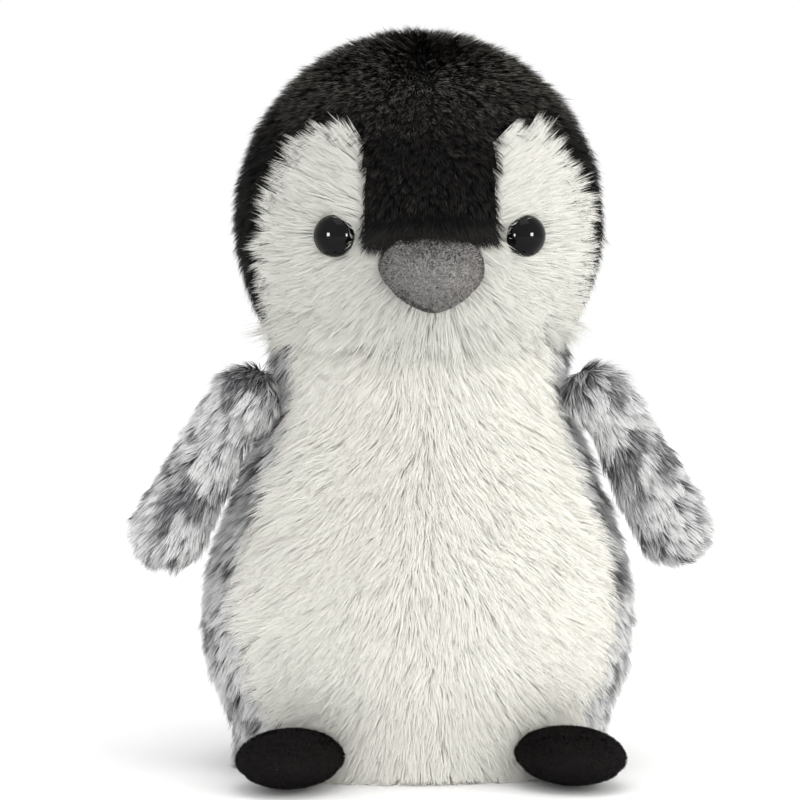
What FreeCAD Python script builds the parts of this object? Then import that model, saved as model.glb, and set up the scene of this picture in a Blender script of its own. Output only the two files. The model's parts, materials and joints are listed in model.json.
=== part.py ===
import FreeCAD, Part
import math
import os

# A standing plush penguin, 200 mm tall, in millimetres.
# It faces -Y, +Z is up and +X is the toy's own left. The origin is on the floor,
# under the middle of the whole toy (feet and back included).
# Every panel solid is as thick as its cloth with the pile standing on it.

V = FreeCAD.Vector

# ---- driving dimensions -------------------------------------------------
HEIGHT = 200.0              # floor to the top of the head
BODY_Y = 7.0                # the feet stick out in front, so the body stands behind the origin
BODY_DEPTH_RATIO = 0.81     # the body is shallower than it is wide
PILE_THICKNESS = 5.0        # body and head plush: cloth and pile together
BASE_CLOTH = 1.2            # the flat base has no long pile

BODY_PROFILE = [            # half width of the body at each height, from hem to neck
    (51.6, 5.0),
    (53.2, 15.0),
    (57.6, 26.0),
    (59.4, 38.0),
    (57.8, 54.0),
    (52.6, 70.0),
    (46.4, 86.0),
    (42.4, 99.0),
    (41.2, 111.0),
    (39.5, 124.0),
    (36.0, 138.0),
]
BASE_HALF_WIDTH = 47.5      # the flat face that the toy stands on

HEAD_HALF = V(51.5, 47.5, 53.2)
HEAD_CENTRE = V(0.0, BODY_Y, HEIGHT - HEAD_HALF.z)

NECK_PIVOT = V(0.0, BODY_Y, 82.0)
NECK_BALL_RADIUS = 53.5     # top of the body stuffing, round about the pivot
NECK_CUSHION = 3.2          # thickness of the loose stuffing between body and head
NECK_TRIM_FROM = 106.0      # below this the body lies well inside the ball
SLIDE_GAP = 0.45            # room between neighbours that move on each other
NECK_CUSHION_ANGLE = 26.0   # half angle of the cushion, seen from the pivot
HEAD_NOD = 12.0             # the most that the head nods either way

GUSSET_HALF_WIDTH = 16.5    # black centre strip of the head
BEAK_TOP = 144.0            # the centre strip ends on the beak

EYE_X = 25.6
EYE_Z = 142.7
EYE_RADIUS = 5.5
EYE_DOME_HEIGHT = 4.2
EYE_DEPTH = 1.6             # the eye's back face lies this far under the pile's tips
EYE_RIM = 0.8
SHANK_RADIUS = 1.6
SHANK_LENGTH = 9.0
WASHER_RADIUS = 6.0
WASHER_THICKNESS = 1.4
WASHER_BEHIND = 4.4         # from the eye's back face to the washer

BEAK_HALF = V(13.2, 19.5, 9.8)
BEAK_CENTRE = V(0.0, BODY_Y - 43.0, 134.8)
BEAK_DROOP = 14.0
BEAK_CLOTH = 1.6
BEAK_SEAM_DROP = 4.2        # the seam runs this far under the beak's middle

FOOT_HALF = V(13.6, 19.0, 7.0)
FOOT_X = 36.4
FOOT_FRONT = -54.4
FOOT_TOE_OUT = 12.0
FOOT_CLOTH = 1.4
FOOT_LIFT_OFF = 1.0         # the soles stay clear of the floor, the base carries the toy
FOOT_FLEX = 20.0            # the most that a foot bends up
FOOT_POCKET_GAP = 2.2       # room round a foot that is half flexed
FOOT_HINGE_BACK = 12.0      # from the foot's middle back to its hinge
FOOT_SEAM_DROP = 3.0

FLIPPER_Y = BODY_Y - 14.5   # the flippers are sewn in beside the seam of belly and back
SHOULDER = V(48.5, FLIPPER_Y, 101.0)    # where the flipper turns, on the toy's left
FLIPPER_TIP = V(66.6, FLIPPER_Y, 65.5)
FLIPPER_ROOT_RADIUS = 9.0
FLIPPER_TIP_RADIUS = 11.4
FLIPPER_FLATNESS = 0.66     # thickness over width
FLIPPER_PILE = 3.2
WEB_THICKNESS = 2.0         # sewn web that holds a flipper to the body
WEB_RADIUS = 8.4
WEB_SLOT_RADIUS = 9.3

POUCH_HALF = V(40.0, 25.0, 12.5)    # bag of pellets low in the body, behind the feet
POUCH_CENTRE = V(0.0, BODY_Y + 6.0, 14.5)
POUCH_CLOTH = 0.8
FILL_SPLIT = 28.0           # stuffing round the pouch below this, body stuffing above it
BIG = 300.0


# ---- small helpers ------------------------------------------------------
def box(x0, x1, y0, y1, z0, z1):
    return Part.makeBox(x1 - x0, y1 - y0, z1 - z0, V(x0, y0, z0))


def ellipsoid(half, centre):
    shape = Part.makeSphere(1.0)
    matrix = FreeCAD.Matrix()
    matrix.scale(half)
    shape = shape.transformGeometry(matrix)
    shape.translate(centre)
    return shape


def mirrored(shape):
    return shape.mirror(V(0, 0, 0), V(1, 0, 0))


def smaller(half, inset):
    return V(half.x - inset, half.y - inset, half.z - inset)


def save(name, shape):
    solids = shape.Solids
    whole = solids[0] if len(solids) == 1 else Part.makeCompound(solids)
    whole.exportStep("parts/" + name + ".step")
    print(name, len(solids), round(whole.Volume, 1), whole.isValid())


def save_pair(name, left_shape):
    save(name + "_left", left_shape)
    save(name + "_right", mirrored(left_shape))


# ---- feet ---------------------------------------------------------------
def foot_frame(shape):
    """Puts a left foot, made about its own middle, where it stands."""
    height = FOOT_HALF.z + FOOT_LIFT_OFF
    shape.rotate(V(0, 0, 0), V(0, 0, 1), FOOT_TOE_OUT)
    shape.translate(V(FOOT_X, FOOT_FRONT + FOOT_HALF.y, height))
    return shape


def foot_hinge():
    """The hinge's middle and its axis, for the left foot."""
    point = foot_frame(Part.Vertex(0, FOOT_HINGE_BACK, 0)).Point
    turn = math.radians(FOOT_TOE_OUT)
    return point, V(math.cos(turn), math.sin(turn), 0)


def foot_pockets():
    """Room in the body for both feet, wide enough for all that they flex."""
    point, axis = foot_hinge()
    pocket = foot_frame(ellipsoid(smaller(FOOT_HALF, -FOOT_POCKET_GAP), V(0, 0, 0)))
    pocket.rotate(point, axis, -FOOT_FLEX / 2)
    return [pocket, mirrored(pocket)]


def make_foot():
    outer = ellipsoid(FOOT_HALF, V(0, 0, 0))
    inner = ellipsoid(smaller(FOOT_HALF, FOOT_CLOTH), V(0, 0, 0))
    cloth = outer.cut(inner)
    under = box(-BIG, BIG, -BIG, BIG, -BIG, -FOOT_SEAM_DROP)
    save_pair("foot_top", foot_frame(cloth.cut(under)))
    save_pair("foot_sole", foot_frame(cloth.common(under)))
    save_pair("foot_fill", foot_frame(inner))


# ---- body ---------------------------------------------------------------
def body_solid(inset):
    """The body out to its pile, or pulled in all round by inset."""
    points = [V(r - inset, 0, z) for r, z in BODY_PROFILE]
    side = Part.BSplineCurve()
    side.interpolate(points)
    base = V(BASE_HALF_WIDTH - inset, 0, 0)
    bend = V(points[0].x - 0.8, 0, 1.9)
    hem = Part.Arc(base, bend, points[0]).toShape()
    top = V(0, 0, points[-1].z)
    below = V(0, 0, -1)
    edges = [
        Part.LineSegment(below, base + below).toShape(),
        Part.LineSegment(base + below, base).toShape(),
        hem,
        side.toShape(),
        Part.LineSegment(points[-1], top).toShape(),
        Part.LineSegment(top, below).toShape(),
    ]
    solid = Part.Face(Part.Wire(edges)).revolve(V(0, 0, 0), V(0, 0, 1), 360)
    widest = max(r for r, z in BODY_PROFILE)
    depth = (widest * BODY_DEPTH_RATIO - inset) / (widest - inset)
    matrix = FreeCAD.Matrix()
    matrix.scale(V(1, depth, 1))
    solid = solid.transformGeometry(matrix)
    solid.translate(V(0, BODY_Y, 0))
    above = box(-BIG, BIG, -BIG, BIG, NECK_TRIM_FROM, BIG)
    ball = Part.makeSphere(NECK_BALL_RADIUS, NECK_PIVOT)
    return solid.cut(above.cut(ball))


def side_seam():
    """Everything in front of the seam between belly and back, which leans back upward."""
    front = box(-BIG, BIG, -BIG, 0, -BIG, BIG)
    front.rotate(V(0, 0, 0), V(1, 0, 0), -7.0)
    front.translate(V(0, BODY_Y - 24.0, 36.0))
    return front


def cut_all(shape, tools):
    for tool in tools:
        shape = shape.cut(tool)
    return shape


def make_body():
    feet = foot_pockets()
    outer = body_solid(0.0)
    inner = body_solid(PILE_THICKNESS)
    under = box(-BIG, BIG, -BIG, BIG, -BIG, BASE_CLOTH)
    cloth = outer.cut(inner).cut(under)
    front = side_seam()
    left = box(0, BIG, -BIG, BIG, -BIG, BIG)
    save_pair("belly_panel", cut_all(cloth.common(front).common(left), feet))
    save_pair("back_panel", cut_all(cloth.cut(front).common(left), feet))
    save("base_panel", cut_all(outer.common(box(-BIG, BIG, -BIG, BIG, 0, BASE_CLOTH)), feet))

    pouch = ellipsoid(POUCH_HALF, POUCH_CENTRE)
    beans = ellipsoid(smaller(POUCH_HALF, POUCH_CLOTH), POUCH_CENTRE)
    save("pellets", beans)
    save("pellet_pouch", pouch.cut(beans))
    low = box(-BIG, BIG, -BIG, BIG, BASE_CLOTH, FILL_SPLIT)
    save("base_fill", cut_all(inner.common(low), feet + [pouch]))
    save("body_fill", inner.cut(box(-BIG, BIG, -BIG, BIG, -BIG, FILL_SPLIT)))


# ---- neck ---------------------------------------------------------------
def cone_about_neck(half_angle):
    """A cone that opens upward from the neck's pivot."""
    length = 90.0
    wide = length * math.tan(math.radians(half_angle))
    return Part.makeCone(0, wide, length, NECK_PIVOT, V(0, 0, 1))


def cup_radius():
    return NECK_BALL_RADIUS + SLIDE_GAP


def cushion_outer_radius():
    return NECK_BALL_RADIUS + SLIDE_GAP + NECK_CUSHION


def make_neck():
    outer = Part.makeSphere(cushion_outer_radius(), NECK_PIVOT)
    inner = Part.makeSphere(cup_radius(), NECK_PIVOT)
    cushion = outer.cut(inner).common(cone_about_neck(NECK_CUSHION_ANGLE))
    save("neck_fill", cushion)


# ---- head ---------------------------------------------------------------
def head_solid(inset):
    """The head out to its pile, or pulled in by inset, hollowed for the neck."""
    solid = ellipsoid(smaller(HEAD_HALF, inset), HEAD_CENTRE)
    solid = solid.cut(Part.makeSphere(cup_radius(), NECK_PIVOT))
    room = Part.makeSphere(cushion_outer_radius() + SLIDE_GAP, NECK_PIVOT)
    room = room.common(cone_about_neck(NECK_CUSHION_ANGLE + HEAD_NOD + 2.0))
    return solid.cut(room)


def head_surface_point(x, z):
    """The point on the front of the head's pile at this width and height."""
    dx = x / HEAD_HALF.x
    dz = (z - HEAD_CENTRE.z) / HEAD_HALF.z
    y = HEAD_CENTRE.y - HEAD_HALF.y * math.sqrt(1 - dx * dx - dz * dz)
    return V(x, y, z)


def head_normal(point):
    d = point - HEAD_CENTRE
    n = V(d.x / HEAD_HALF.x ** 2, d.y / HEAD_HALF.y ** 2, d.z / HEAD_HALF.z ** 2)
    return n.normalize()


def eye_pieces():
    """The left eye with its shank, and the washer that locks it."""
    front = head_surface_point(EYE_X, EYE_Z)
    normal = head_normal(front)
    seat = front - normal * EYE_DEPTH
    dome = ellipsoid(V(EYE_RADIUS, EYE_RADIUS, EYE_DOME_HEIGHT), V(0, 0, 0))
    dome = dome.common(box(-BIG, BIG, -BIG, BIG, 0, BIG))
    rim = Part.makeCylinder(EYE_RADIUS, EYE_RIM, V(0, 0, -EYE_RIM))
    shank = Part.makeCylinder(SHANK_RADIUS, SHANK_LENGTH, V(0, 0, -EYE_RIM - SHANK_LENGTH))
    eye = dome.fuse([rim, shank]).removeSplitter()
    washer = Part.makeCylinder(WASHER_RADIUS, WASHER_THICKNESS, V(0, 0, -WASHER_BEHIND - WASHER_THICKNESS))
    washer = washer.cut(Part.makeCylinder(SHANK_RADIUS, BIG, V(0, 0, -BIG)))
    turn = FreeCAD.Rotation(V(0, 0, 1), normal)
    place = FreeCAD.Placement(seat, turn)
    eye.Placement = place
    washer.Placement = place
    return eye, washer


def face_outline():
    """The left white face panel seen from the front, as a prism through the head's front half."""
    seam = Part.BSplineCurve()
    seam.interpolate([
        V(GUSSET_HALF_WIDTH, 0, 165),
        V(20, 0, 168.5),
        V(26, 0, 168.5),
        V(32, 0, 163.5),
        V(37, 0, 155),
        V(39.8, 0, 144),
        V(39.6, 0, 130),
        V(36.8, 0, 116),
        V(30, 0, 104),
    ])
    corners = [V(30, 0, 104), V(0, 0, 104), V(0, 0, BEAK_TOP), V(GUSSET_HALF_WIDTH, 0, BEAK_TOP)]
    corners.append(V(GUSSET_HALF_WIDTH, 0, 165))
    edges = [seam.toShape()]
    for a, b in zip(corners, corners[1:]):
        edges.append(Part.LineSegment(a, b).toShape())
    face = Part.Face(Part.Wire(edges))
    prism = face.extrude(V(0, 90, 0))
    prism.translate(V(0, HEAD_CENTRE.y - 92, 0))
    return prism


def beak_frame(shape):
    shape.rotate(V(0, 0, 0), V(1, 0, 0), BEAK_DROOP)
    shape.translate(BEAK_CENTRE)
    return shape


def make_head():
    outer = head_solid(0.0)
    inner = head_solid(PILE_THICKNESS)
    beak = beak_frame(ellipsoid(BEAK_HALF, V(0, 0, 0)))
    beak_core = beak_frame(ellipsoid(smaller(BEAK_HALF, BEAK_CLOTH), V(0, 0, 0)))
    skull = ellipsoid(smaller(HEAD_HALF, PILE_THICKNESS), HEAD_CENTRE)
    beak = beak.cut(skull)
    beak_core = beak_core.cut(skull)
    cloth = outer.cut(inner).cut(beak)
    eye, washer = eye_pieces()
    for piece in (eye, mirrored(eye), washer, mirrored(washer)):
        cloth = cloth.cut(piece)
        inner = inner.cut(piece)

    face = face_outline()
    left = box(0, BIG, -BIG, BIG, -BIG, BIG)
    strip = box(-GUSSET_HALF_WIDTH, GUSSET_HALF_WIDTH, -BIG, BIG, -BIG, BIG)
    black = cloth.cut(face).cut(mirrored(face))
    save_pair("face_panel", cloth.common(face))
    save("crown_panel", black.common(strip))
    save_pair("head_side", black.cut(strip).common(left))
    save("head_fill", inner)
    save_pair("eye", eye)
    save_pair("eye_washer", washer)

    under = beak_frame(box(-BIG, BIG, -BIG, BIG, -BIG, -BEAK_SEAM_DROP))
    skin = beak.cut(beak_core)
    save("beak_upper", skin.cut(under))
    save("beak_lower", skin.common(under))
    save("beak_fill", beak_core)


# ---- flippers -----------------------------------------------------------
def flipper_solid(inset):
    """The left flipper: two round ends with straight sides between, pressed flat."""
    reach = (FLIPPER_TIP - SHOULDER).Length
    root = FLIPPER_ROOT_RADIUS - inset
    tip = FLIPPER_TIP_RADIUS - inset
    slope = math.asin((tip - root) / reach)
    half_turn = (math.pi / 2 + slope) / 2
    root_touch = V(-root * math.sin(slope), root * math.cos(slope), 0)
    tip_touch = V(reach - tip * math.sin(slope), tip * math.cos(slope), 0)
    root_half = (math.pi / 2 - slope) / 2
    root_mid = V(-root * math.cos(root_half), root * math.sin(root_half), 0)
    tip_mid = V(reach + tip * math.cos(half_turn), tip * math.sin(half_turn), 0)
    edges = [
        Part.Arc(V(-root, 0, 0), root_mid, root_touch).toShape(),
        Part.LineSegment(root_touch, tip_touch).toShape(),
        Part.Arc(tip_touch, tip_mid, V(reach + tip, 0, 0)).toShape(),
        Part.LineSegment(V(reach + tip, 0, 0), V(-root, 0, 0)).toShape(),
    ]
    solid = Part.Face(Part.Wire(edges)).revolve(V(0, 0, 0), V(1, 0, 0), 360)
    flat = FLIPPER_FLATNESS
    if inset:
        flat = (FLIPPER_TIP_RADIUS * FLIPPER_FLATNESS - inset) / tip
    matrix = FreeCAD.Matrix()
    matrix.scale(V(1, flat, 1))
    solid = solid.transformGeometry(matrix)
    direction = FLIPPER_TIP - SHOULDER
    solid.rotate(V(0, 0, 0), V(0, 1, 0), math.degrees(math.atan2(-direction.z, direction.x)))
    solid.translate(SHOULDER)
    return solid


def make_flipper():
    outer = flipper_solid(0.0)
    inner = flipper_solid(FLIPPER_PILE)
    slot_width = WEB_THICKNESS + 2 * SLIDE_GAP
    slot = Part.makeCylinder(WEB_SLOT_RADIUS, slot_width, V(0, -slot_width / 2, 0) + SHOULDER, V(0, 1, 0))
    cloth = outer.cut(inner).cut(slot)
    front = box(-BIG, BIG, -BIG, FLIPPER_Y, -BIG, BIG)
    save_pair("flipper_front", cloth.common(front))
    save_pair("flipper_back", cloth.cut(front))
    save_pair("flipper_fill", inner.cut(slot))

    start = V(0, -WEB_THICKNESS / 2, 0) + SHOULDER
    web = Part.makeCylinder(WEB_RADIUS, WEB_THICKNESS, start, V(0, 1, 0))
    save_pair("flipper_web", web)


os.makedirs("parts", exist_ok=True)
make_body()
make_neck()
make_head()
make_flipper()
make_foot()
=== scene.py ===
import bpy
import json
import math
from dataclasses import dataclass
import numpy as np
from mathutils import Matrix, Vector, kdtree, noise
from mathutils.bvhtree import BVHTree


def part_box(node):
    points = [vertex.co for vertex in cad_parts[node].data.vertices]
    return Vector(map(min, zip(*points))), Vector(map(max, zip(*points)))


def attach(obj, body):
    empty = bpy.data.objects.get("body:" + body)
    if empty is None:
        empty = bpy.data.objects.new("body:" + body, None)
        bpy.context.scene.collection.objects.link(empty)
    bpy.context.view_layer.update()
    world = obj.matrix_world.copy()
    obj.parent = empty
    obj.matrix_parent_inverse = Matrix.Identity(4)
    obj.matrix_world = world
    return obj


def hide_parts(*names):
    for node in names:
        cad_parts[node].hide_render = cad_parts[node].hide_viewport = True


# A standing plush penguin. Lengths are in metres, so MM turns millimetres into scene units.
# It faces -Y and +X is its own left. Each plush panel is two pieces: a cloth that follows the
# CAD panel one pile length inside it, and the pile that stands on that cloth out to the panel.

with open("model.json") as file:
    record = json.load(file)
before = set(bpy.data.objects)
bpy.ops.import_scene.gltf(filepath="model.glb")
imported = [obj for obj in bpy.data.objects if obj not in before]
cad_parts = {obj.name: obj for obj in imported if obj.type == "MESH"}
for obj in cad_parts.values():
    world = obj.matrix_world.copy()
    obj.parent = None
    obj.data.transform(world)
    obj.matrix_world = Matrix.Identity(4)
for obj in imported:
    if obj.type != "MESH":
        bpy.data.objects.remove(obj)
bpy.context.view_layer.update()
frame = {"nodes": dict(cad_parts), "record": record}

MM = 0.001
SIDES = (("left", 1), ("right", -1))
X, Y, Z = np.eye(3)
rng = np.random.default_rng(11)

PILE_DEPTH = 4.6 * MM         # from the tips of the body's pile down to its cloth
FLIPPER_PILE_DEPTH = 3.0 * MM
FLIPPER_TIP_RADIUS = 11.4 * MM
FLIPPER_BULGE = 0.3 * MM
HEAD_HALF_HEIGHT = 53.2 * MM  # the head's ellipsoid would go on below its rim
HEAD_RIM = 34.5 * MM          # above the neck's joint, where the head's cloth turns under
HEAD_PILE_FROM = 33 * MM      # above the neck's joint, the lowest that the head's pile grows
BODY_PILE_TO = 39 * MM        # above the neck's joint, the highest that the body's pile grows
BODY_PILE_FROM = 1.0 * MM     # above the floor
NECK_GAP = 0.6 * MM           # from the neck's ball to the head's cloth round it
NECK_SINK = 0.8 * MM          # from the neck's ball to the body's cloth under it
FLOOR_CLEARANCE = 0.25 * MM   # no point of a strand is lower

STRANDS_PER_MM2 = 5.0
STRAND_WIDTH = 0.22 * MM
MOST_STRANDS = 38000          # in one piece; a larger pile is made as several, one above another


# ---- the frame's shapes -------------------------------------------------
def node_tree(name):
    """A search tree of one CAD node's surface."""
    mesh = frame["nodes"][name].data
    points = [v.co.copy() for v in mesh.vertices]
    return BVHTree.FromPolygons(points, [tuple(p.vertices) for p in mesh.polygons])


TREES = {name: node_tree(name) for name in frame["nodes"]}


def joint_place(name):
    for joint in frame["record"]["behaviour"]["joints"]:
        if joint["name"] == name:
            return np.array(joint["pos_m"])
    raise KeyError(name)


def corners(*nodes):
    low = np.min([np.array(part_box(n)[0]) for n in nodes], axis=0)
    high = np.max([np.array(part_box(n)[1]) for n in nodes], axis=0)
    return low, high


HEAD_PANELS = ["crown_panel", "head_side_left", "head_side_right", "face_panel_left", "face_panel_right"]
BODY_PANELS = ["belly_panel_left", "belly_panel_right", "back_panel_left", "back_panel_right"]
head_low, head_high = corners(*HEAD_PANELS)
body_low, body_high = corners(*BODY_PANELS)
NECK = joint_place("head_nod")
BODY_Y = NECK[1]
HEAD_HALF = np.array([head_high[0], (head_high[1] - head_low[1]) / 2, HEAD_HALF_HEIGHT])
HEAD_CENTRE = np.array([0.0, BODY_Y, head_high[2] - HEAD_HALF[2]])
NECK_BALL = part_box("body_fill")[1].z - NECK[2]


# ---- surfaces of turned shapes -------------------------------------------
def unit(v):
    return v / np.maximum(np.linalg.norm(v, axis=-1, keepdims=True), 1e-12)


class Skin:
    """A closed-round grid of points: rows along the profile, columns round it."""

    def __init__(self, points, outward_from):
        self.points = points
        du = np.roll(points, -1, axis=1) - np.roll(points, 1, axis=1)
        dv = np.gradient(points, axis=0)
        normal = unit(np.cross(du, dv))
        flip = np.sum(normal * (points - outward_from), axis=-1).mean() < 0
        self.normals = -normal if flip else normal
        a = points[:-1]
        b = np.roll(points, -1, axis=1)[:-1]
        c = np.roll(points, -1, axis=1)[1:]
        d = points[1:]
        self.areas = (np.linalg.norm(np.cross(b - a, d - a), axis=-1)
                      + np.linalg.norm(np.cross(b - c, d - c), axis=-1)) / 2
        self.centres = (a + b + c + d) / 4

    def sample(self, count, weight):
        """Random places spread evenly over the cells that weight picks, and the normal at each."""
        total = np.cumsum((self.areas * weight).ravel())
        cell = np.searchsorted(total, rng.random(count) * total[-1])
        cell = np.minimum(cell, len(total) - 1)
        row, col = np.unravel_index(cell, self.areas.shape)
        col2 = (col + 1) % self.points.shape[1]
        u = rng.random(count)[:, None]
        v = rng.random(count)[:, None]

        def mix(grid):
            near = grid[row, col] * (1 - u) + grid[row, col2] * u
            far = grid[row + 1, col] * (1 - u) + grid[row + 1, col2] * u
            return near * (1 - v) + far * v

        return mix(self.points), unit(mix(self.normals))

    def panel_of(self, names):
        """The CAD panel nearest each cell."""
        best = np.full(self.areas.shape, 1e9)
        owner = np.zeros(self.areas.shape, int)
        for k, name in enumerate(names):
            tree = TREES[name]
            for i in range(self.areas.shape[0]):
                for j in range(self.areas.shape[1]):
                    place = tree.find_nearest(Vector(self.centres[i, j]))
                    if place[3] < best[i, j] - 1e-7:
                        best[i, j] = place[3]
                        owner[i, j] = k
        return owner


def ring_skin(profile, columns, origin, axis, side, front, squash):
    """Turns (along, radius) points about axis; squash is the depth over the width."""
    turn = np.linspace(0, 2 * math.pi, columns, endpoint=False)
    along = profile[:, 0][:, None, None]
    radius = profile[:, 1][:, None, None]
    ring = np.cos(turn)[None, :, None] * side + np.sin(turn)[None, :, None] * front * squash
    return origin + along * axis + radius * ring


def smooth_profile(points, rows):
    """An evenly spaced Catmull-Rom curve through the given (along, radius) points."""
    points = np.array(points, float)
    padded = np.vstack([2 * points[0] - points[1], points, 2 * points[-1] - points[-2]])
    out = []
    for k in range(1, len(padded) - 2):
        p0, p1, p2, p3 = padded[k - 1:k + 3]
        for t in np.linspace(0, 1, 24, endpoint=False):
            out.append(0.5 * (2 * p1 + (p2 - p0) * t + (2 * p0 - 5 * p1 + 4 * p2 - p3) * t * t
                              + (3 * p1 - p0 - 3 * p2 + p3) * t ** 3))
    out.append(points[-1])
    out = np.array(out)
    length = np.concatenate([[0], np.cumsum(np.linalg.norm(np.diff(out, axis=0), axis=1))])
    even = np.linspace(0, length[-1], rows)
    return np.column_stack([np.interp(even, length, out[:, i]) for i in range(2)])


def head_skin():
    """The head's cloth: an ellipsoid one pile length in, turned under at the neck."""
    half = HEAD_HALF - PILE_DEPTH
    drop = math.acos((NECK[2] + HEAD_RIM - HEAD_CENTRE[2]) / half[2])
    polar = np.linspace(0.004, drop, 90)
    shell = np.column_stack([half[2] * np.cos(polar), half[0] * np.sin(polar)])
    ball = NECK_BALL + NECK_GAP
    start = math.asin(min(shell[-1, 1] / ball, 0.99))
    under = np.linspace(start * 0.97, 0.25, 14)
    tuck = np.column_stack([NECK[2] - HEAD_CENTRE[2] + ball * np.cos(under), ball * np.sin(under)])
    points = ring_skin(np.vstack([shell, tuck]), 220, HEAD_CENTRE, Z, X, -Y, half[1] / half[0])
    return Skin(points, HEAD_CENTRE)


def body_half_width(z):
    """Half the body's width at height z, measured on the CAD panels."""
    start = Vector((1.0, BODY_Y + 1 * MM, z))
    place = TREES["back_panel_left"].ray_cast(start, Vector((-1, 0, 0)))[0]
    return place.x


def body_skin():
    """The body's cloth, one pile length inside the CAD panels, closed over the neck."""
    heights = np.linspace(2.2, 112, 26) * MM
    widths = np.array([body_half_width(z) for z in heights])
    side = np.column_stack([heights, widths - PILE_DEPTH])
    hem = np.array([[0.0, widths[0] - 9.5 * MM], [0.3 * MM, widths[0] - 7.0 * MM]])
    ball = NECK_BALL - NECK_SINK
    start = math.asin(side[-1, 1] / ball)
    over = np.linspace(start * 0.93, 0.3, 10)
    cap = np.column_stack([NECK[2] + ball * np.cos(over), ball * np.sin(over)])
    profile = smooth_profile(np.vstack([hem, side, cap]), 150)
    profile[:, 0] = np.maximum(profile[:, 0], 0.0)
    squash = ((body_high[1] - body_low[1]) / 2 - PILE_DEPTH) / (widths.max() - PILE_DEPTH)
    points = ring_skin(profile, 240, np.array([0, BODY_Y, 0]), Z, X, -Y, squash)
    return Skin(points, np.array([0, BODY_Y, 60 * MM]))


def flipper_skin(side, sign):
    """A flat paddle with round ends, one pile length inside the CAD flipper; its two directions and root."""
    low, high = corners("flipper_front_" + side, "flipper_back_" + side)
    root = joint_place("flipper_" + side + "_lift")
    outer_x = high[0] if sign > 0 else low[0]
    tip = np.array([outer_x - sign * FLIPPER_TIP_RADIUS, root[1], low[2] + FLIPPER_TIP_RADIUS])
    axis = unit(tip - root)
    reach = np.linalg.norm(tip - root)
    across = np.cross(axis, Y)
    a = np.linspace(0, math.pi / 2, 16)
    root_in = high[2] - root[2] - FLIPPER_PILE_DEPTH
    tip_in = FLIPPER_TIP_RADIUS - FLIPPER_PILE_DEPTH
    start = np.column_stack([-root_in * np.cos(a), root_in * np.sin(a)])
    start[0, 1] = 0.1 * MM
    run = np.linspace(0, 1, 34)[1:-1]
    bulge = FLIPPER_BULGE * np.sin(math.pi * run)
    middle = np.column_stack([run * reach, root_in + (tip_in - root_in) * run + bulge])
    end = np.column_stack([reach + tip_in * np.sin(a), tip_in * np.cos(a)])
    end[-1, 1] = 0.1 * MM
    thickness = (high[1] - low[1]) / 2 - FLIPPER_PILE_DEPTH
    points = ring_skin(np.vstack([start, middle, end]), 72, root, axis, across, Y, thickness / tip_in)
    return Skin(points, (root + tip) / 2), axis, across, root


# ---- meshes ---------------------------------------------------------------
def mesh_object(name, vertices, faces):
    mesh = bpy.data.meshes.new(name)
    mesh.from_pydata([tuple(v) for v in vertices], [], faces)
    mesh.update()
    mesh.shade_smooth()
    piece = bpy.data.objects.new(name, mesh)
    bpy.context.scene.collection.objects.link(piece)
    return piece


def grid_faces(rows, columns, keep=None):
    faces = []
    for i in range(rows - 1):
        for j in range(columns):
            if keep is None or keep[i, j]:
                k = (j + 1) % columns
                here, above = i * columns, (i + 1) * columns
                faces.append((here + j, here + k, above + k, above + j))
    return faces


def skin_piece(name, skin, keep=None):
    """The cells of a skin that keep picks, or all of them, as a mesh with no loose points."""
    rows, columns = skin.points.shape[:2]
    faces = grid_faces(rows, columns, keep)
    used = sorted({v for f in faces for v in f})
    place = {v: k for k, v in enumerate(used)}
    flat = skin.points.reshape(-1, 3)
    normal = skin.normals.reshape(-1, 3)
    faces = [tuple(place[v] for v in f) for f in faces]
    a, b, c = (flat[used[faces[0][k]]] for k in range(3))
    if np.dot(np.cross(b - a, c - a), normal[used[faces[0][0]]]) < 0:
        faces = [f[::-1] for f in faces]
    return mesh_object(name, flat[used], faces)


def finish_piece(piece, material, body, nodes=()):
    piece.data.materials.clear()
    piece.data.materials.append(material)
    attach(piece, body)
    if nodes:
        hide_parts(*nodes)
    return piece


# ---- pile -----------------------------------------------------------------
STEPS = 3                  # a strand is a strip of two quads and a pointed tip
STRAND_PROFILE = (1.0, 0.9, 0.6)
SWIRL_SIZE = 13.0 * MM     # across the patches of pile that turn the same way
PATCH_SIZE = 9 * MM        # across the patches of pile that are about equally long
TUFT_JITTER = 0.14
SHORT_SHARE = 0.15         # of the strands are undergrowth, this much shorter
SHORT_LENGTH = 0.65


@dataclass
class Look:
    """How one kind of pile grows. length and tuft are in mm, lift in radians."""

    length: float
    tuft: float                 # the width of one tuft
    lift: tuple                 # the angle off the cloth, at the root and at the tip
    clump: float                # how far strands lean in to the middle of their tuft
    swirl: float                # how far patches of pile turn away from the comb
    blend: float                # how much a strand is shaded like the cloth under it
    tone_mix: float             # how much of its tone is a strand's own, and not its tuft's
    dense: float = 1.0          # strands, over the usual number
    width: float = 1.0          # of a strand, over the usual width
    jitter: float = 0.2         # how far single strands turn
    own: float = 0.5            # how much a strand follows the comb at its own place
    length_jitter: float = 0.12
    uneven: float = 0.1         # how much tufts differ in length
    ragged_below: float = None  # the height, in metres, under which tufts are very uneven


def strand_path(root, normal, comb, length, lift_root, lift_tip):
    """Points of each strand, which leaves the cloth at lift_root and bends over to lift_tip."""
    points = [root]
    for k in range(STEPS):
        t = (k + 0.5) / STEPS
        lift = (lift_root + (lift_tip - lift_root) * t)[:, None]
        step = comb * np.cos(lift) + normal * np.sin(lift)
        points.append(points[-1] + step * (length / STEPS)[:, None])
    return np.stack(points, axis=1)


def along_surface(direction, normal):
    return unit(direction - normal * np.sum(direction * normal, axis=-1, keepdims=True))


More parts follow.
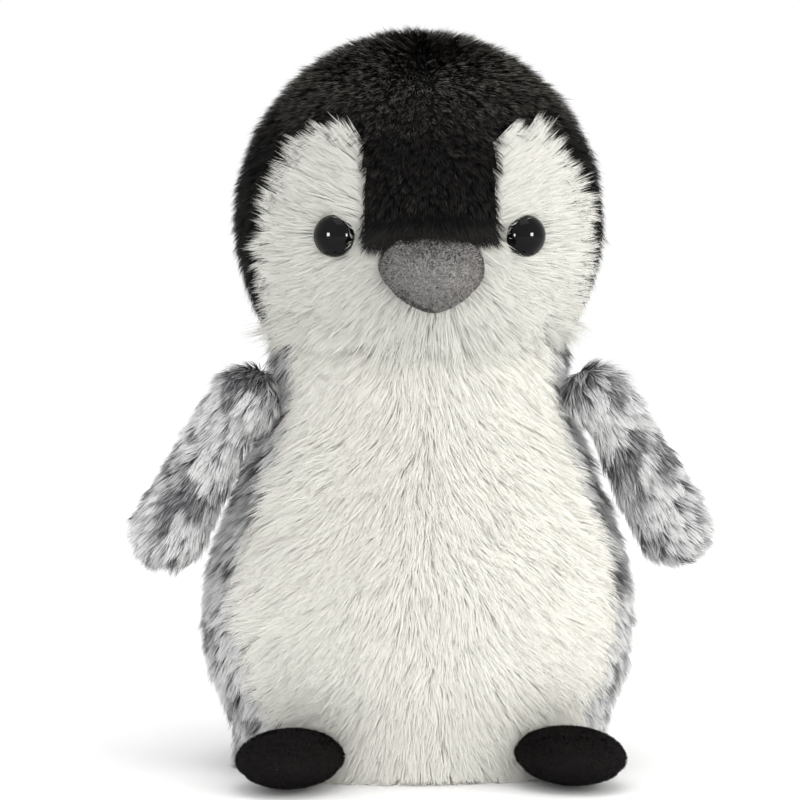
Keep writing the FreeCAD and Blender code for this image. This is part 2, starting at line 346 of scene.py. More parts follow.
def soft_noise(points, scale, seed):
    """Smooth noise vectors, a few points per blob."""
    out = np.empty((len(points), 3))
    offset = Vector((seed * 7.1, seed * 3.3, seed * 5.7))
    for k, p in enumerate(points):
        out[k] = noise.noise_vector(Vector(p) / scale + offset)
    return out


class Lump:
    """What pile lies round and doesn't grow under: an ellipsoid, or a short post along its third axis."""

    def __init__(self, centre, axes, half, rim=0.3 * MM, post=False):
        self.centre = np.array(centre, float)
        self.axes = np.array(axes, float)
        self.half = np.array(half, float) + rim
        self.spread = np.array([1.0, 1.0, 0.0]) if post else np.ones(3)

    def place(self, points):
        """Each point in the lump's own frame, and how far out it is, where 1 is the surface."""
        local = ((points - self.centre) @ self.axes.T) / self.half
        size = np.linalg.norm(local * self.spread, axis=-1, keepdims=True)
        beyond = np.abs(local[..., 2:]) > 1
        return local, np.where(beyond, 9.0, size)

    def holds(self, points, slack=0.9):
        return self.place(points)[1][..., 0] < slack

    def push_out(self, points):
        """Moves the points that lie inside out to the surface."""
        local, size = self.place(points)
        grow = np.where(size < 1, 1 / np.maximum(size, 1e-6), 1.0) - 1
        return (local * (1 + grow * self.spread) * self.half) @ self.axes + self.centre


def pile(name, skin, weight, comb, look, lumps=(), shade=None):
    """Pile on the cells that weight picks, combed by comb, with tones by shade or at random."""
    area = float((skin.areas * weight).sum())
    count = int(area / MM ** 2 * STRANDS_PER_MM2 * look.dense)
    tufts = max(12, int(area / MM ** 2 / look.tuft ** 2))
    t_root, t_normal = skin.sample(tufts, weight)
    sway = soft_noise(t_root, SWIRL_SIZE, 1)
    jit = rng.normal(size=(tufts, 3)) * TUFT_JITTER
    t_comb = along_surface(unit(comb(t_root)) + sway * look.swirl + jit, t_normal)
    t_size = 1 + 0.2 * soft_noise(t_root, PATCH_SIZE, 2)[:, 0] + rng.normal(size=tufts) * look.uneven
    t_tone = shade(t_root) if shade else rng.random(tufts)
    t_lift = look.lift[0] + rng.normal(size=tufts) * 0.08
    t_length = look.length * MM * t_size
    if look.ragged_below:
        low = t_root[:, 2] < look.ragged_below
        t_length = np.where(low, t_length * (0.8 + 0.9 * rng.random(tufts)), t_length)
    t_path = strand_path(t_root, t_normal, t_comb, t_length, t_lift, np.full(tufts, look.lift[1]))

    root, normal = skin.sample(count, weight)
    tree = kdtree.KDTree(tufts)
    for k in range(tufts):
        tree.insert(Vector(t_root[k]), k)
    tree.balance()
    tuft = np.fromiter((tree.find(Vector(p))[1] for p in root), int, count)
    kept = np.ones(count, bool)
    for lump in lumps:
        kept &= ~lump.holds(root)
    root, normal, tuft = root[kept], normal[kept], tuft[kept]
    count = len(root)
    wander = rng.normal(size=(count, 3)) * look.jitter
    own_comb = unit(comb(root)) * look.own
    way = along_surface(t_comb[tuft] + own_comb + wander, normal)
    length = t_length[tuft] * (1 + rng.normal(size=count) * look.length_jitter)
    length *= np.where(rng.random(count) < SHORT_SHARE, SHORT_LENGTH, 1.0)
    lift_root = t_lift[tuft] + rng.normal(size=count) * 0.1
    lift_tip = look.lift[1] + rng.normal(size=count) * 0.12
    path = strand_path(root, normal, way, length, lift_root, lift_tip)
    for k in range(1, STEPS + 1):
        t = k / STEPS
        amount = (look.clump * t ** 1.3) * (0.6 + 0.8 * rng.random(count))[:, None]
        path[:, k] += (t_path[tuft, k] - path[:, k]) * np.minimum(amount, 0.92) * 0.8
    for lump in lumps:
        path[:, 1:] = lump.push_out(path[:, 1:])
    path[:, :, 2] = np.maximum(path[:, :, 2], FLOOR_CLEARANCE)
    tone = np.clip(t_tone[tuft] * (1 - look.tone_mix) + rng.random(count) * look.tone_mix, 0, 1)
    order = np.argsort(root[:, 2], kind="stable")
    pieces = []
    groups = np.array_split(order, max(1, math.ceil(count / MOST_STRANDS)))
    for k, rows in enumerate(groups):
        label = name if len(groups) == 1 else "%s_%d" % (name, k + 1)
        pieces.append(strips(label, path[rows], normal[rows], tone[rows], look.width, look.blend))
    return pieces


def add_pile(pieces, material, body):
    for piece in pieces:
        finish_piece(piece, material, body)


def strips(name, path, normal, tone, width, blend):
    """One thin strip per path, whose face looks away from the cloth; width and blend are as in Look."""
    count = len(path)
    own_width = STRAND_WIDTH * width * (0.75 + 0.5 * rng.random(count))
    roll = rng.normal(size=count) * 0.4
    points = np.empty((count, 2 * STEPS + 1, 3))
    shading = np.empty_like(points)
    for k in range(STEPS):
        step = unit(path[:, k + 1] - path[:, k])
        across = unit(np.cross(step, normal))
        over = unit(np.cross(across, step))
        across = across * np.cos(roll)[:, None] + over * np.sin(roll)[:, None]
        face = unit(np.cross(across, step))
        face *= np.sign(np.sum(face * normal, axis=1, keepdims=True))
        shade = unit(face * (1 - blend) + normal * blend)
        shading[:, 2 * k] = shade
        shading[:, 2 * k + 1] = shade
        reach = across * (own_width * STRAND_PROFILE[k] / 2)[:, None]
        points[:, 2 * k] = path[:, k] - reach
        points[:, 2 * k + 1] = path[:, k] + reach
    points[:, -1] = path[:, -1]
    shading[:, -1] = shading[:, -2]
    base = (np.arange(count) * (2 * STEPS + 1))[:, None]
    quad = np.array([[0, 1, 3, 2], [2, 3, 5, 4]])
    quads = (base[:, :, None] + quad[None]).reshape(-1, 4)
    tris = base + np.array([[4, 5, 6]])
    loops = np.concatenate([quads.ravel(), tris.ravel()]).astype(np.int32)
    starts = np.concatenate([np.arange(len(quads)) * 4, len(quads) * 4 + np.arange(count) * 3])
    mesh = bpy.data.meshes.new(name)
    mesh.vertices.add(points.shape[0] * points.shape[1])
    mesh.vertices.foreach_set("co", points.astype(np.float32).ravel())
    mesh.loops.add(len(loops))
    mesh.loops.foreach_set("vertex_index", loops)
    mesh.polygons.add(len(starts))
    mesh.polygons.foreach_set("loop_start", starts.astype(np.int32))
    mesh.update(calc_edges=True)
    mesh.shade_smooth()
    custom = mesh.attributes.new("custom_normal", "FLOAT_VECTOR", "POINT")
    custom.data.foreach_set("vector", shading.astype(np.float32).ravel())
    height = np.tile(np.array([0, 0, 1, 1, 2, 2, 3]) / STEPS, (count, 1))
    uv = np.stack([np.repeat(tone[:, None], 2 * STEPS + 1, axis=1), height], axis=-1).reshape(-1, 2)
    layer = mesh.uv_layers.new(name="OFBake")
    layer.data.foreach_set("uv", uv[loops].astype(np.float32).ravel())
    piece = bpy.data.objects.new(name, mesh)
    bpy.context.scene.collection.objects.link(piece)
    return piece


# ---- materials --------------------------------------------------------------
class Nodes:
    """A new material with its shader, and short ways to add nodes to it."""

    def __init__(self, name, **inputs):
        self.material = bpy.data.materials.new(name)
        self.material.use_nodes = True
        self.tree = self.material.node_tree
        self.shader = self.tree.nodes["Principled BSDF"]
        for key, value in inputs.items():
            self.shader.inputs[key.replace("_", " ")].default_value = value

    def add(self, kind, **settings):
        node = self.tree.nodes.new("ShaderNode" + kind)
        for key, value in settings.items():
            setattr(node, key, value)
        return node

    def link(self, out, into):
        self.tree.links.new(out, into)

    def ramp(self, value, stops):
        node = self.add("ValToRGB")
        bar = node.color_ramp
        while len(bar.elements) < len(stops):
            bar.elements.new(0.5)
        for element, (place, colour) in zip(bar.elements, stops):
            element.position = place
            element.color = (*colour, 1)
        self.link(value, node.inputs[0])
        return node.outputs[0]

    def multiply(self, a, b):
        node = self.add("Mix", data_type="RGBA", blend_type="MULTIPLY")
        node.inputs[0].default_value = 1.0
        self.link(a, node.inputs[6])
        self.link(b, node.inputs[7])
        return node.outputs[2]

    def noise(self, scale):
        node = self.add("TexNoise")
        node.inputs["Scale"].default_value = scale
        node.inputs["Detail"].default_value = 3.0
        node.inputs["Roughness"].default_value = 0.5
        place = self.add("TexCoord")
        self.link(place.outputs["Object"], node.inputs["Vector"])
        return node.outputs[0]

    def bump(self, height, distance):
        node = self.add("Bump")
        node.inputs["Distance"].default_value = distance
        node.inputs["Strength"].default_value = 1.0
        self.link(height, node.inputs["Height"])
        self.link(node.outputs[0], self.shader.inputs["Normal"])


def pile_material(name, along, tone, roughness, specular=0.2):
    """Pile coloured from root to tip by along, and from strand to strand by tone."""
    m = Nodes(name, Roughness=roughness)
    m.shader.inputs["Specular IOR Level"].default_value = specular
    place = m.add("UVMap", uv_map="OFBake")
    split = m.add("SeparateXYZ")
    m.link(place.outputs[0], split.inputs[0])
    colour = m.multiply(m.ramp(split.outputs[1], along), m.ramp(split.outputs[0], tone))
    m.link(colour, m.shader.inputs["Base Color"])
    return m.material


def speckled_material(name, dark, light, scale, bump=0.2, roughness=0.9, specular=0.2):
    """A matt surface of two near colours with a fine bump: cloth, nap or stuffing."""
    m = Nodes(name, Roughness=roughness)
    m.shader.inputs["Specular IOR Level"].default_value = specular
    speck = m.noise(scale)
    m.link(m.ramp(speck, [(0.3, dark), (0.7, light)]), m.shader.inputs["Base Color"])
    m.bump(speck, bump * MM)
    return m.material


def cloth_material(name, colour, scale=1800.0):
    return speckled_material(name, tuple(0.8 * c for c in colour), colour, scale)


# White pile: its roots are a little darker than its tips, a painted shade deep in the pile. The low end of
# its tone ramp, where the face sits, is a painted shade that keeps the face darker than the belly.
WHITE_PILE = pile_material(
    "white_pile",
    [(0.0, (0.80, 0.79, 0.73)), (0.3, (0.88, 0.87, 0.81)), (1.0, (0.91, 0.90, 0.84))],
    [(0.0, (0.78, 0.785, 0.79)), (0.5, (0.90, 0.90, 0.90)), (1.0, (1.0, 1.0, 1.0))], 0.8, 0.1)
# Black pile: its roots are darker than its tips, a painted shade deep in the pile. Its bright tips, with the
# top of its tone ramp that cap_painted_sheen gives only the crown, are a painted sheen.
BLACK_PILE = pile_material(
    "black_pile",
    [(0.0, (0.003, 0.003, 0.003)), (0.5, (0.012, 0.0115, 0.011)), (1.0, (0.19, 0.182, 0.17))],
    [(0.0, (0.05, 0.05, 0.055)), (0.3, (0.22, 0.215, 0.21)), (0.6, (0.8, 0.78, 0.74)),
     (0.85, (1.3, 1.25, 1.18)), (1.0, (2.6, 2.5, 2.3))], 0.55, 0.05)
FROSTED_PILE = pile_material(
    "frosted_pile",
    [(0.0, (0.07, 0.07, 0.075)), (0.3, (0.22, 0.22, 0.225)), (0.55, (0.66, 0.66, 0.665)),
     (1.0, (0.86, 0.86, 0.85))],
    [(0.0, (0.05, 0.05, 0.055)), (0.16, (0.18, 0.18, 0.19)), (0.34, (0.74, 0.74, 0.75)),
     (0.6, (0.95, 0.95, 0.95)), (1.0, (1.0, 1.0, 1.0))], 0.6)
BEAK_PILE = pile_material(
    "beak_nap",
    [(0.0, (0.17, 0.162, 0.158)), (0.6, (0.21, 0.20, 0.195)), (1.0, (0.24, 0.23, 0.224))],
    [(0.0, (0.35, 0.35, 0.35)), (0.5, (0.95, 0.95, 0.95)), (1.0, (1.7, 1.7, 1.7))], 0.8, 0.1)
FOOT_PILE = pile_material(
    "foot_fuzz",
    [(0.0, (0.004, 0.0035, 0.0035)), (1.0, (0.018, 0.016, 0.016))],
    [(0.0, (0.4, 0.4, 0.4)), (0.9, (0.9, 0.85, 0.85)), (1.0, (3.0, 2.4, 2.4))], 0.8, 0.05)
WHITE_CLOTH = cloth_material("white_cloth", (0.84, 0.83, 0.78))
BLACK_CLOTH = cloth_material("black_cloth", (0.006, 0.006, 0.006))
GREY_CLOTH = cloth_material("grey_cloth", (0.16, 0.16, 0.165))
BEAK_CLOTH = speckled_material("beak_cloth", (0.10, 0.096, 0.094), (0.33, 0.32, 0.31), 2600.0, 0.15)
FOOT_CLOTH = speckled_material("foot_cloth", (0.004, 0.0035, 0.0035), (0.011, 0.01, 0.0095), 2400.0,
                               specular=0.06)
BASE_CLOTH = cloth_material("base_cloth", (0.70, 0.69, 0.66), 1500.0)
STUFFING = speckled_material("stuffing", (0.74, 0.74, 0.73), (0.88, 0.88, 0.88), 500.0, 0.6)
POUCH_CLOTH = speckled_material("pouch_cloth", (0.66, 0.65, 0.61), (0.8, 0.79, 0.75), 3000.0)
WASHER_PLASTIC = speckled_material("washer_plastic", (0.78, 0.78, 0.77), (0.84, 0.84, 0.83), 1200.0,
                                   0.02, 0.45)
PELLET_PLASTIC = speckled_material("pellet_plastic", (0.55, 0.55, 0.53), (0.85, 0.85, 0.83), 450.0,
                                   0.8, 0.4)


# ---- how the pile lies ------------------------------------------------------
def comb_cap(points):
    """Down from the crown on every side."""
    return np.tile(-Z, (len(points), 1)) + 0.15 * np.sign(points[:, :1]) * X


BEAK_LOW, BEAK_HIGH = corners("beak_upper", "beak_lower")
FACE_MIDDLE = (BEAK_LOW + BEAK_HIGH) / 2 + 3 * MM * Z


def comb_face(points):
    """Outward all round from the beak."""
    away = points - FACE_MIDDLE
    away[:, 1] *= 0.3
    way = unit(away) - 0.1 * Z
    under_brow = (np.abs(points[:, 0]) < BROW_HALF_WIDTH) & (points[:, 2] > BEAK_CENTRE[2])
    way[under_brow, 2] = -1.0       # nothing white pokes up through the dark brow
    return way


def comb_down(spread):
    """Down, and out towards the side seams, by the distance from the middle over spread."""
    def comb(points):
        count = len(points)
        return np.column_stack([points[:, 0] / spread, np.zeros(count), np.full(count, -1.0)])
    return comb


def frosted_shade(points):
    """Long dark partings between broad silver locks."""
    flow = soft_noise(points * np.array([1, 1, 0.55]), 5.5 * MM, 4)[:, 0]
    broad = soft_noise(points, 17 * MM, 5)[:, 1]
    return np.clip(0.56 + 1.6 * flow + 0.5 * broad + rng.normal(size=len(points)) * 0.12, 0, 1)


def even_shade(tone):
    """About the same tone everywhere."""
    def shade(points):
        return np.clip(tone + rng.normal(size=len(points)) * 0.1, 0, 1)
    return shade


# Where the painted sheen on the crown starts, and how far up it grows to full.
CROWN_SHEEN_FROM = HEAD_CENTRE[2] + 19 * MM
CROWN_SHEEN_RISE = 16 * MM


def cap_painted_sheen(points):
    """Painted sheen: the cap's tone rises above the brow, as if it caught the light there, and the brow
    stays deep black.
    """
    rise = np.clip((points[:, 2] - CROWN_SHEEN_FROM) / CROWN_SHEEN_RISE, 0, 1)
    return np.clip(0.02 + 0.8 * rise + rng.normal(size=len(points)) * 0.1, 0, 1)


RAGGED_EDGE = HEAD_CENTRE[2] - 24 * MM      # uneven locks below it hide the line of the neck
CAP_LOOK = Look(length=4.6, tuft=1.7, lift=(1.0, 0.6), clump=0.35, swirl=0.25, blend=0.7, tone_mix=0.25,
                dense=1.3, width=0.85)
FACE_LOOK = Look(length=6.4, tuft=2.2, lift=(0.85, 0.4), clump=0.28, swirl=0.4, blend=0.93, tone_mix=0.2,
                 dense=1.8, width=0.8, length_jitter=0.18, ragged_below=RAGGED_EDGE)
BELLY_LOOK = Look(length=6.8, tuft=2.6, lift=(0.8, 0.36), clump=0.24, swirl=0.6, blend=0.95, tone_mix=0.2,
                  dense=1.6, width=0.85, length_jitter=0.2, uneven=0.06)
BACK_LOOK = Look(length=7.0, tuft=2.8, lift=(0.85, 0.4), clump=0.55, swirl=0.6, blend=0.8, tone_mix=0.3)
FLIPPER_LOOK = Look(length=5.8, tuft=2.2, lift=(0.6, 0.15), clump=0.5, swirl=0.4, blend=0.8, tone_mix=0.3,
                    dense=1.35, width=0.95)
GUSSET_LOOK = Look(length=5.6, tuft=2.2, lift=(0.5, 0.1), clump=0.5, swirl=0.3, blend=0.8, tone_mix=0.3,
                   dense=1.35, width=0.95)
NAP_LOOK = Look(length=0.6, tuft=1.2, lift=(1.2, 0.8), clump=0.1, swirl=1.0, blend=0.92, tone_mix=0.85,
                dense=2.2, width=0.9, jitter=0.8, own=0.0)
FUZZ_LOOK = Look(length=0.8, tuft=1.5, lift=(1.0, 0.6), clump=0.1, swirl=1.0, blend=0.6, tone_mix=0.9,
                 dense=1.6, width=0.5, jitter=0.9, own=0.0)


# ---- eyes, beak and feet: their places and their shapes ------------------------
FOOT_HALF = np.array([13.6, 19.0, 7.0]) * MM
FOOT_TOE_OUT = math.radians(12)
FOOT_SEAM_DROP = 3.0 * MM
BEAK_HALF = np.array([13.2, 19.5, 9.8]) * MM
BEAK_DROOP = math.radians(14)
BEAK_SEAM_DROP = 4.2 * MM
BEAK_NAP_DEPTH = 9 * MM       # the nap goes this far in behind the front of the face
BEAK_TIP_TO_CENTRE = 19.0 * MM
BEAK_CENTRE = np.array([0.0, BEAK_LOW[1] + BEAK_TIP_TO_CENTRE, (BEAK_LOW[2] + BEAK_HIGH[2]) / 2])
BEAK_AHEAD = np.array([0, -math.cos(BEAK_DROOP), -math.sin(BEAK_DROOP)])
BEAK_UP = np.array([0, -math.sin(BEAK_DROOP), math.cos(BEAK_DROOP)])
BROW_HALF_WIDTH = 17 * MM
EYE_X = 25.6 * MM
EYE_DEPTH = 1.6 * MM
EYE_REACH = 9.0 * MM
EYE_RIM = -0.05 * MM


def eye_lump(side, sign):
    """A short post square to the face, as wide as the eye."""
    low, high = corners("eye_" + side)
    radius = (high[2] - low[2]) / 2
    place = np.array([sign * EYE_X, 0.0, (low[2] + high[2]) / 2])
    off = (place - HEAD_CENTRE) / HEAD_HALF
    place[1] = HEAD_CENTRE[1] - HEAD_HALF[1] * math.sqrt(1 - off[0] ** 2 - off[2] ** 2)
    out = unit((place - HEAD_CENTRE) / HEAD_HALF ** 2)
    level = unit(np.cross(Z, out))
    axes = (level, np.cross(out, level), out)
    return Lump(place - out * EYE_DEPTH, axes, (radius, radius, EYE_REACH), rim=EYE_RIM, post=True)


def foot_frame(side, sign):
    """The middle of a foot, the way its toes point, and the way across it."""
    low, high = corners("foot_fill_" + side)
    ahead = np.array([sign * math.sin(FOOT_TOE_OUT), -math.cos(FOOT_TOE_OUT), 0])
    return (low + high) / 2, ahead, np.cross(ahead, Z)


def foot_lump(side, sign):
    centre, ahead, across = foot_frame(side, sign)
    return Lump(centre, (across, ahead, Z), FOOT_HALF)


BEAK_LUMP = Lump(BEAK_CENTRE, (X, BEAK_AHEAD, BEAK_UP), BEAK_HALF)
HEAD_LUMPS = [BEAK_LUMP] + [eye_lump(side, sign) for side, sign in SIDES]
BODY_LUMPS = [foot_lump(side, sign) for side, sign in SIDES]


# ---- a plush shell of several panels ----------------------------------------
def make_plush(panels, skin, shown, looks, body, lumps):
    """For each CAD panel, the cloth that takes its place and the pile on that cloth."""
    owner = skin.panel_of(panels)
    for k, node in enumerate(panels):
        kind = node.replace("_left", "").replace("_right", "")
        comb, look, hair, cloth, slot, shade = looks[kind]
        own = owner == k
        backing = finish_piece(skin_piece(node + "_cloth", skin, own), cloth, body, [node])
        tufts = pile(node + "_pile", skin, (own & shown).astype(float), comb, look, lumps, shade)
        add_pile(tufts, hair, body)


# ---- head ---------------------------------------------------------------
def make_head():
    skin = head_skin()
    shown = skin.centres[:, :, 2] > NECK[2] + HEAD_PILE_FROM
    cap = (comb_cap, CAP_LOOK, BLACK_PILE, BLACK_CLOTH, "black_plush", cap_painted_sheen)
    # The face sits low on the white tone ramp: a painted shade that makes it darker than the belly's white.
    face = (comb_face, FACE_LOOK, WHITE_PILE, WHITE_CLOTH, "white_plush", even_shade(0.02))
    looks = {"crown_panel": cap, "head_side": cap, "face_panel": face}
    make_plush(HEAD_PANELS, skin, shown, looks, "head", HEAD_LUMPS)
    make_fringe()


FRINGE_COUNT = 5200
FRINGE_HALF_WIDTH = 15.5 * MM
FRINGE_HEIGHT = 6 * MM
FRINGE_DROP = 1.5 * MM        # its lowest roots are this far below the beak's top
FRINGE_SAG = 2.0 * MM         # and its ends start lower than its middle
FRINGE_SINK = 2.5 * MM        # its roots are this far inside the cap panel's surface


def make_fringe():
    """The cap's pile hangs over the top of the beak in a ragged fringe."""
    count = FRINGE_COUNT
    x = (rng.random(count) * 2 - 1) * FRINGE_HALF_WIDTH
    rise = rng.random(count) ** 1.3 * FRINGE_HEIGHT
    z = BEAK_HIGH[2] - FRINGE_DROP + rise - FRINGE_SAG * (x / (15 * MM)) ** 2
    tree = TREES["crown_panel"]
    root = np.empty((count, 3))
    normal = np.empty((count, 3))
    for k in range(count):
        place = tree.ray_cast(Vector((x[k], -0.2, z[k])), Vector((0, 1, 0)))
        hit = place[0] if place[0] is not None else Vector((x[k], HEAD_CENTRE[1] - HEAD_HALF[1], z[k]))
        root[k] = hit
        normal[k] = unit(np.array(hit) - HEAD_CENTRE)
    root -= normal * FRINGE_SINK
    lock = np.sin(x / (1.15 * MM) + 3 * np.sin(x / (4.3 * MM)))
    length = (7.2 + 1.3 * lock + rng.normal(size=count) * 0.7) * MM
    way = along_surface(np.column_stack([x / (26 * MM), np.zeros(count), np.full(count, -1.0)])
                        + rng.normal(size=(count, 3)) * 0.16, normal)
    path = strand_path(root, normal, way, length, np.full(count, 0.75), np.full(count, 0.1))
    for lump in HEAD_LUMPS:
        path[:, 1:] = lump.push_out(path[:, 1:])
    tone = rng.random(count) * 0.22
    add_pile([strips("brow_pile", path, normal, tone, 0.9, 0.7)], BLACK_PILE, "head")


# ---- body -----------------------------------------------------------------
def make_body():
    skin = body_skin()
    height = skin.centres[:, :, 2]
    shown = (height < NECK[2] + BODY_PILE_TO) & (height > BODY_PILE_FROM)
    belly = (comb_down(28 * MM), BELLY_LOOK, WHITE_PILE, WHITE_CLOTH, "white_plush", even_shade(0.9))
    back = (comb_down(70 * MM), BACK_LOOK, FROSTED_PILE, GREY_CLOTH, "frosted_plush", frosted_shade)
    looks = {"belly_panel": belly, "back_panel": back}
    make_plush(BODY_PANELS, skin, shown, looks, "body", BODY_LUMPS)
    make_base(skin)


BASE_HEIGHT = 0.35 * MM       # of the cloth above the floor
BASE_SEAM_LIFT = 0.5 * MM     # how much more its seam is drawn up


def make_base(skin):
    """The flat base: a disc of plain cloth inside the hem, slightly drawn up by its seam."""
    rim = skin.points[0]
    centre = rim.mean(axis=0)
    rings = np.linspace(1.0, 0.02, 14)
    grid = np.stack([centre + (rim - centre) * r for r in rings])
    grid[:, :, 2] = BASE_HEIGHT + BASE_SEAM_LIFT * np.exp(-((1 - rings) / 0.05) ** 2)[:, None]
    disc = Skin(grid, centre + 10 * MM * Z)
    piece = finish_piece(skin_piece("base_cloth", disc), BASE_CLOTH, "body", ["base_panel"])


# ---- flippers -----------------------------------------------------------------
GUSSET_HALF = np.array([7.6, 7.4, 5.2]) * MM
GUSSET_IN = 2.5 * MM          # its middle is this far towards the body from the shoulder's joint
GUSSET_DOWN = 1.0 * MM
FLARE_SIZE = 8 * MM           # the scale on which the pile fans out from a flipper's axis


def make_flippers():
    for side, sign in SIDES:
        skin, axis, across, root = flipper_skin(side, sign)

        def comb(points):
            off = points - root
            out = off - np.outer(off @ axis, axis)
            return axis + 0.3 * sign * X + 0.5 * out / FLARE_SIZE

        backing = finish_piece(skin_piece("flipper_%s_cloth" % side, skin), GREY_CLOTH, "flipper_" + side,
                               ["flipper_front_" + side, "flipper_back_" + side])
        everywhere = np.ones_like(skin.areas)
        tufts = pile("flipper_%s_pile" % side, skin, everywhere, comb, FLIPPER_LOOK, (), frosted_shade)
        add_pile(tufts, FROSTED_PILE, "flipper_" + side)
        make_gusset(side, sign, axis, across, root)


def make_gusset(side, sign, axis, across, root):
    """The furry fold at the shoulder, where the flipper is sewn to the body."""
    turn = np.linspace(0.03, math.pi - 0.03, 26)
    profile = np.column_stack([-GUSSET_HALF[0] * np.cos(turn), GUSSET_HALF[1] * np.sin(turn)])
    centre = root - sign * GUSSET_IN * X - GUSSET_DOWN * Z
    points = ring_skin(profile, 48, centre, axis, across, Y, GUSSET_HALF[2] / GUSSET_HALF[1])
    skin = Skin(points, root)

    def comb(where):
        return axis + 0.25 * sign * X - 0.2 * Z + 0.1 * (where - root) / FLARE_SIZE

    body = "shoulder_" + side
    backing = finish_piece(skin_piece("flipper_web_%s_cloth" % side, skin), GREY_CLOTH, body,
                           ["flipper_web_" + side])
    everywhere = np.ones_like(skin.areas)
    tufts = pile("flipper_web_%s_pile" % side, skin, everywhere, comb, GUSSET_LOOK, (), frosted_shade)
    add_pile(tufts, FROSTED_PILE, body)


# ---- eyes, beak and feet ----------------------------------------------------
def set_material(node, material):
    frame["nodes"][node].data.materials.clear()
    frame["nodes"][node].data.materials.append(material)


def make_eyes():
    m = Nodes("eye_gloss", Roughness=0.06)
    m.shader.inputs["Specular IOR Level"].default_value = 0.14
    cloud = m.noise(300.0)
    m.link(m.ramp(cloud, [(0.3, (0.0012, 0.0012, 0.0012)), (0.7, (0.003, 0.003, 0.003))]),
           m.shader.inputs["Base Color"])
    for side, _ in SIDES:
        set_material("eye_" + side, m.material)
        set_material("eye_washer_" + side, WASHER_PLASTIC)


def beak_skin():
    """A soft wedge: flat on top, round at the sides, drawn to a rounded V below."""
    turn = np.linspace(0, 2 * math.pi, 96, endpoint=False)
    run = np.linspace(0.02, math.pi * 0.72, 60)
    wide, tall = np.cos(turn), np.sin(turn)
    power = np.where(tall > 0, 2.5, 1.55)
    size = (np.abs(wide) ** power + np.abs(tall) ** power) ** (-1 / power)
    side = BEAK_HALF[0] * wide * size
    up = np.where(tall > 0, 0.9, 1.02) * BEAK_HALF[2] * tall * size
    ahead = BEAK_HALF[1] * np.sign(np.cos(run)) * np.abs(np.cos(run)) ** 0.92
    grow = np.sin(run) ** 0.92
    seam = 1 - 0.05 * np.exp(-((up + BEAK_SEAM_DROP) / (0.7 * MM)) ** 2)
    ring = (side * seam)[None, :, None] * X + (up * seam)[None, :, None] * BEAK_UP
    points = BEAK_CENTRE + ahead[:, None, None] * BEAK_AHEAD + grow[:, None, None] * ring
    return Skin(points, BEAK_CENTRE)


def make_beak():
    skin = beak_skin()
    upper = (skin.centres - BEAK_CENTRE) @ BEAK_UP >= -BEAK_SEAM_DROP
    shown = skin.centres[:, :, 1] < HEAD_CENTRE[1] - HEAD_HALF[1] + BEAK_NAP_DEPTH
    for name, own in (("beak_upper", upper), ("beak_lower", ~upper)):
        piece = finish_piece(skin_piece(name + "_cloth", skin, own), BEAK_CLOTH, "head",
                             [name])
        nap = pile(name + "_nap", skin, (own & shown).astype(float), comb_cap, NAP_LOOK)
        add_pile(nap, BEAK_PILE, "head")


KNIT_RIB = 1.15 * MM
KNIT_DEPTH = 0.16 * MM
KNIT_STITCH = 1.4 * MM


def foot_skin(centre, ahead, across):
    """A stuffed foot in ribbed knit, with its seam round the lower rim."""
    turn = np.linspace(0, 2 * math.pi, 260, endpoint=False)
    run = np.linspace(0.015, math.pi - 0.015, 120)
    along = FOOT_HALF[1] * np.cos(run)
    grow = np.sin(run) ** 0.94
    side = FOOT_HALF[0] * np.cos(turn)
    up = FOOT_HALF[2] * np.sin(turn)
    seam = np.exp(-((up[None, :] * grow[:, None] + FOOT_SEAM_DROP) / (0.6 * MM)) ** 2)
    rib = np.abs(np.sin(math.pi * side[None, :] * grow[:, None] / KNIT_RIB))
    stitch = 0.5 + 0.5 * np.cos(2 * math.pi * along[:, None] / KNIT_STITCH + 2.4 * rib)
    size = 1 - 0.055 * seam
    points = (centre + along[:, None, None] * ahead
              + (grow[:, None] * side[None, :] * size)[:, :, None] * across
              + (grow[:, None] * up[None, :] * size)[:, :, None] * Z)
    plain = Skin(points, centre)
    depth = KNIT_DEPTH * (rib * (0.6 + 0.4 * stitch) - 1) * (1 - seam)
    return Skin(points + plain.normals * depth[:, :, None], centre)


def make_feet():
    for side, sign in SIDES:
        centre, ahead, across = foot_frame(side, sign)
        skin = foot_skin(centre, ahead, across)
        top = skin.centres[:, :, 2] - centre[2] >= -FOOT_SEAM_DROP
        body = "foot_" + side
        for name, own in (("foot_top_", top), ("foot_sole_", ~top)):
            piece = finish_piece(skin_piece(name + side + "_cloth", skin, own), FOOT_CLOTH, body,
                                 [name + side])
        fuzz = pile("foot_%s_fuzz" % side, skin, np.ones_like(skin.areas), comb_cap, FUZZ_LOOK)
        add_pile(fuzz, FOOT_PILE, body)


def make_insides():
    """The parts that are sewn inside keep their CAD shapes."""
    for node in ("head_fill", "body_fill", "base_fill", "neck_fill", "beak_fill"):
        set_material(node, STUFFING)
    for side, _ in SIDES:
        set_material("flipper_fill_" + side, STUFFING)
        set_material("foot_fill_" + side, STUFFING)
    set_material("pellet_pouch", POUCH_CLOTH)
    set_material("pellets", PELLET_PLASTIC)


# ---- stage, light and camera --------------------------------------------------
FLOOR_HALF = 4.0


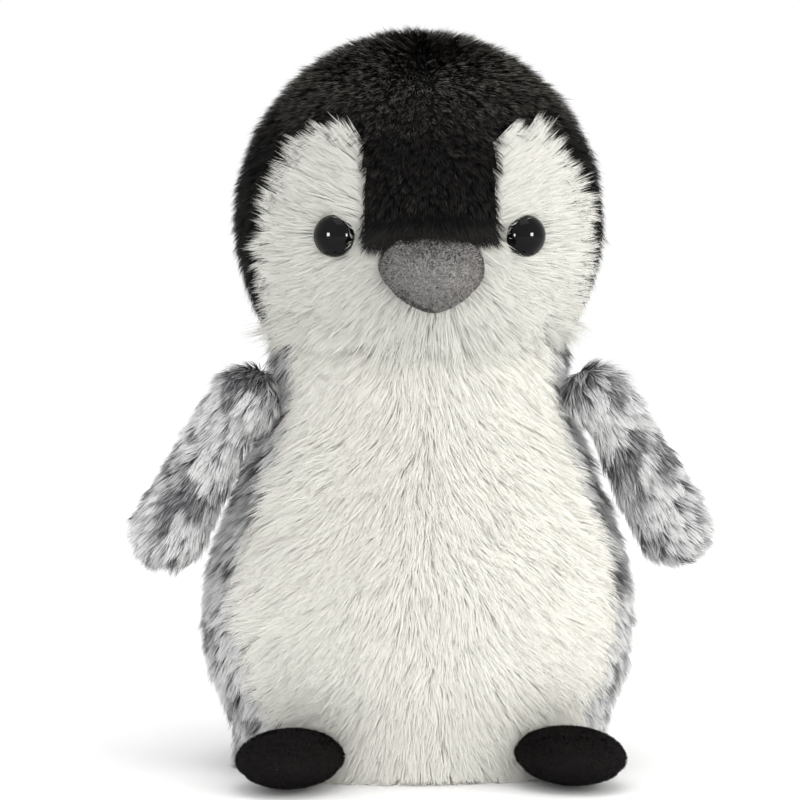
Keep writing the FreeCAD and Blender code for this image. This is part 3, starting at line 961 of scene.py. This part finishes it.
def make_stage():
    m = Nodes("stage_white", Roughness=1.0)
    m.shader.inputs["Base Color"].default_value = (1, 1, 1, 1)
    m.shader.inputs["Specular IOR Level"].default_value = 0.0
    far = FLOOR_HALF
    floor = mesh_object("floor", [(-far, -far, 0), (far, -far, 0), (far, far, 0), (-far, far, 0)],
                        [(0, 1, 2, 3)])
    floor.data.materials.append(m.material)
    world = bpy.data.worlds.new("studio")
    world.use_nodes = True
    back = world.node_tree.nodes["Background"]
    back.inputs[0].default_value = (1, 1, 1, 1)
    back.inputs[1].default_value = 1.0
    bpy.context.scene.world = world
    bpy.context.scene.view_settings.view_transform = "Standard"


def add_light(name, place, target, size, power, colour=(1, 1, 1)):
    light = bpy.data.lights.new(name, "AREA")
    light.size = size
    light.energy = power
    light.color = colour
    lamp = bpy.data.objects.new(name, light)
    lamp.location = place
    lamp.rotation_euler = (Vector(target) - Vector(place)).to_track_quat("-Z", "Y").to_euler()
    bpy.context.scene.collection.objects.link(lamp)
    return lamp


LIGHT_TARGET = (0, 0, 100 * MM)
SPARKS = (("high", 0.20, 0.22, 12.0), ("low", -0.12, 0.16, 2.0))       # name, height, size, power


def make_lights():
    """Soft light on the toy, and small lamps that only make the sparks in the eyes."""
    key = add_light("key", (0.95, -0.75, 0.42), LIGHT_TARGET, 1.1, 7.0, (1.0, 0.98, 0.93))
    fill = add_light("fill", (-0.1, -1.2, 0.3), LIGHT_TARGET, 0.9, 4.2)
    for lamp in (key, fill):
        lamp.visible_glossy = False     # neither shows in the eyes
    add_light("top", (0.1, -0.3, 1.1), LIGHT_TARGET, 0.7, 2.0)
    for side, sign in SIDES:
        for name, height, size, power in SPARKS:
            spark = add_light("spark_%s_%s" % (name, side), (sign * 0.80, -0.75, height), LIGHT_TARGET,
                              size, power)
            spark.visible_diffuse = False


CAMERA_AZIMUTH = math.radians(-4.0)
CAMERA_ELEVATION = math.radians(2.8)
LENS = 150.0
SENSOR = 36.0
VIEW_WIDTH = 217.6 * MM       # what the picture spans at the toy's own distance
AIM_ASIDE = -5.0 * MM         # the aim, from where the body's axis meets the floor
AIM_UP = 98.4 * MM


def make_camera():
    data = bpy.data.cameras.new("camera")
    data.lens = LENS
    data.sensor_width = SENSOR
    camera = bpy.data.objects.new("camera", data)
    right = np.array([math.cos(CAMERA_AZIMUTH), math.sin(CAMERA_AZIMUTH), 0])
    ahead = np.array([-math.sin(CAMERA_AZIMUTH), math.cos(CAMERA_AZIMUTH), 0])
    back = -ahead * math.cos(CAMERA_ELEVATION) + Z * math.sin(CAMERA_ELEVATION)
    up = np.cross(right, -back)
    aim = np.array([0, BODY_Y, 0]) + right * AIM_ASIDE + up * AIM_UP
    camera.location = aim + back * VIEW_WIDTH * LENS / SENSOR
    camera.rotation_euler = Vector(-back).to_track_quat("-Z", "Y").to_euler()
    bpy.context.scene.collection.objects.link(camera)
    bpy.context.scene.camera = camera


make_camera()
make_head()
make_body()
make_flippers()
make_eyes()
make_beak()
make_feet()
make_insides()
make_stage()
make_lights()
